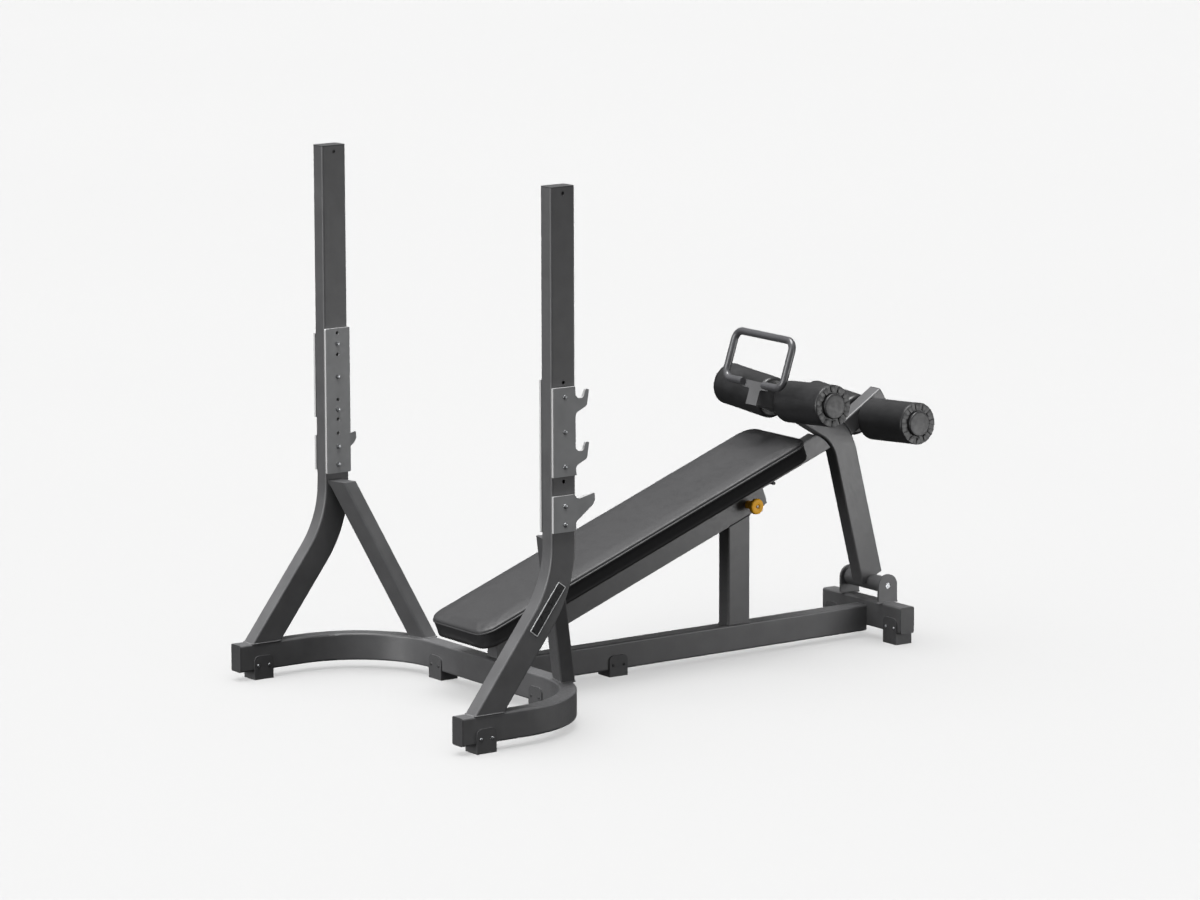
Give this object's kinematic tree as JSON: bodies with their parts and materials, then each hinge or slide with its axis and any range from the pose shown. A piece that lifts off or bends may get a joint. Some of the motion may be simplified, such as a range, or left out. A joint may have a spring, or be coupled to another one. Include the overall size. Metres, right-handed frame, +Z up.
{
  "type": "decline press bench with rack uprights",
  "caption": "Decline sit-up and press bench with a padded sloping board, foam leg rollers, a grab handle and two rack uprights with bar hooks.",
  "frame": {"origin": "centre of the footprint on the floor", "axes": "+Z up, +Y from the rack uprights towards the leg rollers, +X to the side with the pull knob"},
  "size_m": [1.228, 1.9262, 1.54],
  "materials": {
    "frame_paint": "satin charcoal powder coat",
    "plate_paint": "satin mid grey powder coat",
    "handle_paint": "satin grey powder coat",
    "black_plastic": "moulded, fine grain",
    "foot_rubber": "matte",
    "bright_fasteners": "zinc plated",
    "bright_steel": "bright drawn",
    "pad_board": "plywood",
    "pad_vinyl": "grained upholstery vinyl",
    "roller_foam": "semi-gloss skin",
    "roller_caps": "moulded",
    "knob_orange": "moulded",
    "name_plate": "blank"
  },
  "bodies": {
    "frame": {"base_u_tube": "frame_paint", "base_end_caps": "black_plastic", "base_rail": "frame_paint", "rear_crossbar": "frame_paint", "rear_end_caps": "black_plastic", "upright_left": "frame_paint", "upright_right": "frame_paint", "upright_caps": "black_plastic", "brace_left": "frame_paint", "brace_right": "frame_paint", "inner_plate_left": "plate_paint", "hook_plate_left": "plate_paint", "safety_catch_left": "plate_paint", "inner_plate_right": "plate_paint", "hook_plate_right": "plate_paint", "safety_catch_right": "plate_paint", "plate_bolts": "bright_fasteners", "name_plate": "name_plate", "sloping_beam": "frame_paint", "post": "frame_paint", "beam_guide": "black_plastic", "pull_pin_housing": "frame_paint", "pad_board": "pad_board", "pad_cushion": "pad_vinyl", "pad_bolts": "bright_fasteners", "hinge_plate_left": "frame_paint", "hinge_plate_right": "frame_paint", "hinge_pin": "bright_fasteners", "front_foot_left": "foot_rubber", "corner_foot_left": "foot_rubber", "rear_foot_left": "foot_rubber", "front_foot_right": "foot_rubber", "corner_foot_right": "foot_rubber", "rear_foot_right": "foot_rubber", "middle_foot": "foot_rubber", "foot_screws": "bright_fasteners"},
    "leg_support": {"leg_tube": "frame_paint", "leg_barrel": "frame_paint", "hinge_bushes": "black_plastic", "rear_arm": "frame_paint", "rear_arm_cap": "black_plastic", "leg_lug": "frame_paint", "front_bracket": "frame_paint", "handle_loop": "handle_paint", "front_axles": "bright_steel", "rear_axle": "bright_steel"},
    "slide_tube": {"slide_tube": "frame_paint", "slide_pin": "frame_paint", "locking_tongue": "bright_steel", "slide_stop": "foot_rubber"},
    "pull_knob": {"pull_knob": "knob_orange"},
    "front_left_roller": {"front_left_roller_foam": "roller_foam", "front_left_roller_caps": "roller_caps"},
    "front_right_roller": {"front_right_roller_foam": "roller_foam", "front_right_roller_caps": "roller_caps"},
    "rear_left_roller": {"rear_left_roller_foam": "roller_foam", "rear_left_roller_caps": "roller_caps"},
    "rear_right_roller": {"rear_right_roller_foam": "roller_foam", "rear_right_roller_caps": "roller_caps"}
  },
  "joints": [
    {"name": "leg_hinge", "type": "hinge", "parent": "frame", "child": "leg_support", "pos_m": [0, 0.9119, 0.165], "axis": [1, 0, 0], "range_deg": [-4.71, 4.71]},
    {"name": "slide_adjust", "type": "slide", "parent": "frame", "child": "slide_tube", "axis": [0, 0.9359, 0.3522], "range_m": [-0.04, 0.04]},
    {"name": "pull_pin", "type": "slide", "parent": "frame", "child": "pull_knob", "axis": [1, 0, 0], "range_m": [0, 0.012], "stiffness_N_per_m": 400, "springref_m": -0.01},
    {"name": "front_left_spin", "type": "hinge", "parent": "leg_support", "child": "front_left_roller", "pos_m": [0, 0.5806, 0.7474], "axis": [-0.9976, 0, 0.0698], "continuous": true},
    {"name": "front_right_spin", "type": "hinge", "parent": "leg_support", "child": "front_right_roller", "pos_m": [0, 0.5806, 0.7474], "axis": [0.9976, 0, 0.0698], "continuous": true},
    {"name": "rear_left_spin", "type": "hinge", "parent": "leg_support", "child": "rear_left_roller", "pos_m": [0, 0.8969, 0.663], "axis": [-0.9976, 0, 0.0698], "continuous": true},
    {"name": "rear_right_spin", "type": "hinge", "parent": "leg_support", "child": "rear_right_roller", "pos_m": [0, 0.8969, 0.663], "axis": [0.9976, 0, 0.0698], "continuous": true}
  ],
  "couplings": [
    {"joint": "slide_adjust", "follows": "leg_hinge", "m_per_rad": -0.4847}
  ]
}
